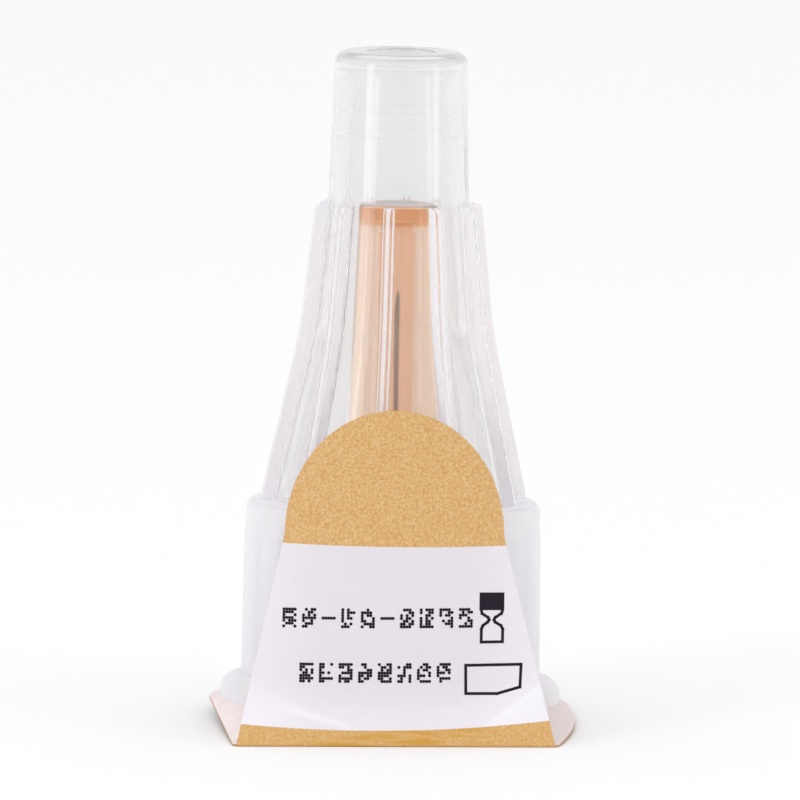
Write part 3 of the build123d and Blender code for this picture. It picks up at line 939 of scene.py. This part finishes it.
class PENNEEDLE_OT_dot_rows(bpy.types.Operator):
    """Print the two rows of dotted blocks on the tab"""

    bl_idname = "penneedle.dot_rows"
    bl_label = "Dot Rows"

    # Corners of the patch of the tab that carries the rows, as (x, z) in millimetres, and its faces
    PATCH_LOW = Vector((-6.4, 1.2))
    PATCH_HIGH = Vector((5.0, 6.4))
    PATCH_FACES = (48, 24)
    PATCH_UV = "patch"
    BLOCK_COLUMNS = 5
    GAP_COLUMNS = 2
    DOT_ROWS = 7
    DOT_CORNERS = 8
    SLOPE = 0.0182
    NO_DASHES = 99

    # The rows, each with its piece's name, the place (x, z) of its first dot in millimetres, its number
    # of blocks, and the number of blocks from one dash to the next
    PRINTED_ROWS = (
        ("upper_dot_row", Vector((-5.64, 4.58)), 10, 3),
        ("lower_dot_row", Vector((-4.70, 1.75)), 8, NO_DASHES),
    )

    def execute(self, context):
        looks = context.scene.penneedle_print
        ink = ink_finish(looks)
        tree = self.dot_tree()
        for row in self.PRINTED_ROWS:
            self.print_row(context, looks, ink, tree, *row)
        return {"FINISHED"}

    def print_row(self, context, looks, ink, tree, name, start, blocks, dash_every):
        row = self.make_patch(name)
        modifier = row.modifiers.new("dots", "NODES")
        modifier.node_group = tree
        offset = (start - self.PATCH_LOW) * MM
        size = (self.PATCH_HIGH - self.PATCH_LOW) * MM
        values = {
            "Columns": blocks * (self.BLOCK_COLUMNS + self.GAP_COLUMNS) - self.GAP_COLUMNS,
            "Rows": self.DOT_ROWS,
            "Pitch": looks.dot_pitch,
            "Slope": self.SLOPE,
            "Start X": offset.x,
            "Start Z": offset.y,
            "Patch Width": size.x,
            "Patch Height": size.y,
            "Block Columns": self.BLOCK_COLUMNS,
            "Gap Columns": self.GAP_COLUMNS,
            "Dash Every": dash_every,
            "Printed Share": looks.printed_share,
            "Seed": looks.seed + blocks,
            "Dot Radius": looks.dot_radius,
            "Lift": looks.lift,
            "Ink": ink,
        }
        sockets = {item.name: item.identifier for item in tree.interface.items_tree}
        for socket, value in values.items():
            modifier[sockets[socket]] = value
        patch = row.data
        row.data = bpy.data.meshes.new_from_object(row.evaluated_get(context.evaluated_depsgraph_get()))
        row.modifiers.clear()
        bpy.data.meshes.remove(patch)
        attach(row, CAP_BODY)

    def make_patch(self, name):
        """The stretch of the tab's printed side that carries a row, with its UV map."""
        across, up = self.PATCH_FACES
        bm = bmesh.new()
        uv = bm.loops.layers.uv.new(self.PATCH_UV)
        shares = {}
        rows = []
        for j in range(up + 1):
            z = between(self.PATCH_LOW.y, self.PATCH_HIGH.y, j / up)
            xs = [between(self.PATCH_LOW.x, self.PATCH_HIGH.x, i / across) for i in range(across + 1)]
            rows.append([bm.verts.new((x, tab_y(x, z), z)) for x in xs])
            shares.update({vertex: (i / across, j / up) for i, vertex in enumerate(rows[-1])})
        grid_faces(bm, rows, 0)
        for face in bm.faces:
            for loop in face.loops:
                loop[uv].uv = shares[loop.vert]
        return mesh_object(name, bm)

    def dot_tree(self):
        """A lattice of dots in blocks, laid on the patch, with a named input for each size."""
        tree = bpy.data.node_groups.new("dot_row", "GeometryNodeTree")
        inputs = {
            "Geometry": ("Patch",),
            "Int": ("Columns", "Rows", "Block Columns", "Gap Columns", "Dash Every", "Seed"),
            "Float": (
                "Pitch", "Slope", "Start X", "Start Z", "Patch Width", "Patch Height", "Printed Share",
                "Dot Radius", "Lift",
            ),
            "Material": ("Ink",),
        }
        for kind, names in inputs.items():
            for name in names:
                tree.interface.new_socket(name=name, in_out="INPUT", socket_type="NodeSocket" + kind)
        tree.interface.new_socket(name="Dots", in_out="OUTPUT", socket_type="NodeSocketGeometry")
        nodes = Nodes(tree)
        entry = nodes.add("NodeGroupInput")
        given = {socket.name: Signal(nodes, socket) for socket in entry.outputs}
        width = (given["Columns"] - 1) * given["Pitch"]
        height = (given["Rows"] - 1) * given["Pitch"]
        lattice = nodes.node(
            "GeometryNodeMeshGrid",
            inputs={
                "Size X": width,
                "Size Y": height,
                "Vertices X": given["Columns"],
                "Vertices Y": given["Rows"],
            },
        )
        kept = nodes.node(
            "GeometryNodeDeleteGeometry",
            inputs={"Geometry": lattice, "Selection": self.is_printed(nodes, given) < 0.5},
        )
        place = nodes.node("GeometryNodeInputPosition")
        lattice_x, lattice_y = (
            nodes.node("ShaderNodeSeparateXYZ", inputs={0: place}, output=axis) for axis in range(2)
        )
        across = lattice_x + width / 2 + given["Start X"]
        up = lattice_y + height / 2 + given["Start Z"] + (lattice_x + width / 2) * given["Slope"]
        spot = nodes.node(
            "ShaderNodeCombineXYZ", inputs={0: across / given["Patch Width"], 1: up / given["Patch Height"]}
        )
        normal = self.sampled(nodes, given, spot, "GeometryNodeInputNormal")
        surface = self.sampled(nodes, given, spot, "GeometryNodeInputPosition")
        lift = nodes.node("ShaderNodeVectorMath", {"operation": "SCALE"}, {0: normal, "Scale": given["Lift"]})
        lifted = nodes.node("ShaderNodeVectorMath", {"operation": "ADD"}, {0: surface, 1: lift})
        facing = nodes.node("FunctionNodeAlignRotationToVector", {"axis": "Z"}, {"Vector": normal})
        dot = nodes.node(
            "GeometryNodeMeshCircle",
            {"fill_type": "NGON"},
            {"Vertices": self.DOT_CORNERS, "Radius": given["Dot Radius"]},
        )
        dots = nodes.node(
            "GeometryNodeInstanceOnPoints", inputs={"Points": kept, "Instance": dot, "Rotation": facing}
        )
        laid = nodes.node("GeometryNodeSetPosition", inputs={"Geometry": dots, "Position": lifted})
        real = nodes.node("GeometryNodeRealizeInstances", inputs={"Geometry": laid})
        inked = nodes.node("GeometryNodeSetMaterial", inputs={"Geometry": real, "Material": given["Ink"]})
        nodes.add("NodeGroupOutput", inputs={"Dots": inked})
        return tree

    def is_printed(self, nodes, given):
        """1 for the dots that are printed: part of those in each block, or the middle row of a dash."""
        index = nodes.node("GeometryNodeInputIndex")
        column = (index / given["Rows"]).floor()
        row = index - column * given["Rows"]
        block_pitch = given["Block Columns"] + given["Gap Columns"]
        block = (column / block_pitch).floor()
        in_block = (column - block * block_pitch) < given["Block Columns"]
        dash_every = given["Dash Every"]
        dash = (block % dash_every).equals(dash_every - 1) * (block < dash_every * 2)
        in_dash = dash * row.equals((given["Rows"] / 2).floor())
        chosen = nodes.node(
            "FunctionNodeRandomValue",
            {"data_type": "BOOLEAN"},
            {"Probability": given["Printed Share"], "ID": index, "Seed": given["Seed"]},
            3,
        )
        return in_block * (in_dash + (1 - dash) * chosen)

    def sampled(self, nodes, given, spot, kind):
        """The patch's position or normal under each dot."""
        uv_map = nodes.node(
            "GeometryNodeInputNamedAttribute", {"data_type": "FLOAT_VECTOR"}, {"Name": self.PATCH_UV}
        )
        return nodes.node(
            "GeometryNodeSampleUVSurface",
            {"data_type": "FLOAT_VECTOR"},
            {"Mesh": given["Patch"], "Value": nodes.node(kind), "UV Map": uv_map, "Sample UV": spot},
        )


class PENNEEDLE_OT_studio(bpy.types.Operator):
    """Build the floor, the light and the camera"""

    bl_idname = "penneedle.studio"
    bl_label = "Studio"

    FLOOR_HALF_SIZE = 3.0
    FLOOR_COLOUR = (0.95, 0.95, 0.95, 1.0)
    SOLID_BOUNCES = 24
    CLEAR_BOUNCES = 32
    BACK_OVER_FRONT = 0.2

    # Each lamp's name, place, width, height and power, and the place that all of them face
    LAMPS = (
        ("left_strip", (-0.42, -0.30, 0.10), 0.12, 0.50, 0.60),
        ("right_strip", (0.45, -0.22, 0.10), 0.10, 0.50, 0.36),
        ("top_panel", (0.0, 0.0, 0.60), 1.0, 1.0, 1.75),
    )
    LAMPS_FACE = Vector((0, 0, 0.015))

    # The picture is 800 pixels wide, and one pixel is 0.0527 mm at the needle's axis. Its middle lies
    # this far up the needle and to its right
    PICTURE_PX = 800
    PIXEL = 0.0527 * MM
    MIDDLE_HEIGHT = 15.83 * MM
    MIDDLE_ASIDE = 0.26 * MM

    def execute(self, context):
        studio = context.scene.penneedle_studio
        self.build_floor()
        self.build_surround(context.scene, studio)
        self.build_lamps(context.scene)
        self.build_camera(context.scene, studio)
        context.scene.view_settings.view_transform = "Standard"
        context.scene.cycles.max_bounces = self.SOLID_BOUNCES
        context.scene.cycles.transmission_bounces = self.SOLID_BOUNCES
        context.scene.cycles.transparent_max_bounces = self.CLEAR_BOUNCES
        return {"FINISHED"}

    def build_floor(self):
        bm = bmesh.new()
        bmesh.ops.create_grid(bm, x_segments=1, y_segments=1, size=self.FLOOR_HALF_SIZE)
        paint = Finish("pale_floor").painted(Base_Color=self.FLOOR_COLOUR, Roughness=0.8)
        floor = mesh_object("studio_floor", bm, paint, placing=Matrix())

    def build_surround(self, scene, studio):
        """Light from all round, weaker on the camera's side so that the clear walls show."""
        world = bpy.data.worlds.new("studio_surround")
        world.use_nodes = True
        world.node_tree.nodes.clear()
        nodes = Nodes(world.node_tree)
        direction = nodes.node("ShaderNodeTexCoord", output="Generated")
        depth = nodes.node("ShaderNodeSeparateXYZ", inputs={0: direction}, output=1)
        strength = (depth.step(0.0, blur=1.0) - 0.5) * self.BACK_OVER_FRONT + studio.surround
        light = nodes.node("ShaderNodeBackground", inputs={"Color": (1, 1, 1, 1), "Strength": strength})
        nodes.add("ShaderNodeOutputWorld", inputs={"Surface": light})
        scene.world = world

    def build_lamps(self, scene):
        """Two upright strips in front for the long highlights, and a wide panel overhead."""
        for name, place, width, height, power in self.LAMPS:
            lamp = bpy.data.lights.new(name, "AREA")
            lamp.shape = "RECTANGLE"
            lamp.size = width
            lamp.size_y = height
            lamp.energy = power
            holder = bpy.data.objects.new(name, lamp)
            holder.location = place
            holder.rotation_mode = "QUATERNION"
            holder.rotation_quaternion = (self.LAMPS_FACE - Vector(place)).to_track_quat("-Z", "Y")
            scene.collection.objects.link(holder)

    def build_camera(self, scene, studio):
        aim = FLANGE_CENTRE + AXIS * self.MIDDLE_HEIGHT + RIGHT * self.MIDDLE_ASIDE
        elevation = studio.elevation + atan2(AXIS.y, AXIS.z)
        away = Vector((0, -cos(elevation), sin(elevation)))
        lens = bpy.data.cameras.new("camera")
        lens.sensor_width = 36.0
        lens.lens = lens.sensor_width * studio.distance / (self.PICTURE_PX * self.PIXEL)
        lens.clip_start = 0.05
        lens.clip_end = 20.0
        camera = bpy.data.objects.new("camera", lens)
        camera.location = aim + away * studio.distance
        camera.rotation_mode = "QUATERNION"
        facing = (-away).to_track_quat("-Z", "Y").to_matrix() @ Matrix.Rotation(studio.roll, 3, "Z")
        camera.rotation_quaternion = facing.to_quaternion()
        scene.collection.objects.link(camera)
        scene.camera = camera


OPERATORS = (
    PENNEEDLE_OT_outer_cap,
    PENNEEDLE_OT_inner_shield,
    PENNEEDLE_OT_needle,
    PENNEEDLE_OT_peel_seal,
    PENNEEDLE_OT_drawn_marks,
    PENNEEDLE_OT_dot_rows,
    PENNEEDLE_OT_studio,
)
GROUPS = {
    "penneedle_plastic": PENNEEDLE_PG_plastic,
    "penneedle_needle": PENNEEDLE_PG_needle,
    "penneedle_paper": PENNEEDLE_PG_paper,
    "penneedle_print": PENNEEDLE_PG_print,
    "penneedle_studio": PENNEEDLE_PG_studio,
}


class PENNEEDLE_PT_panel(bpy.types.Panel):
    bl_label = "Sealed Pen Needle"
    bl_idname = "PENNEEDLE_PT_panel"
    bl_space_type = "VIEW_3D"
    bl_region_type = "UI"
    bl_category = "Pen Needle"

    def draw(self, context):
        for name, group in GROUPS.items():
            column = self.layout.column()
            for setting in group.__annotations__:
                column.prop(getattr(context.scene, name), setting)
        for operator in OPERATORS:
            self.layout.operator(operator.bl_idname)


CLASSES = (*GROUPS.values(), *OPERATORS, PENNEEDLE_PT_panel)


def register():
    for cls in CLASSES:
        bpy.utils.register_class(cls)
    for name, group in GROUPS.items():
        setattr(bpy.types.Scene, name, PointerProperty(type=group))


def unregister():
    for name in GROUPS:
        delattr(bpy.types.Scene, name)
    for cls in reversed(CLASSES):
        bpy.utils.unregister_class(cls)


def main():
    register()
    bpy.ops.penneedle.outer_cap()
    bpy.ops.penneedle.inner_shield()
    bpy.ops.penneedle.needle()
    bpy.ops.penneedle.peel_seal()
    bpy.ops.penneedle.drawn_marks()
    bpy.ops.penneedle.dot_rows()
    bpy.ops.penneedle.studio()


if __name__ == "__main__":
    main()
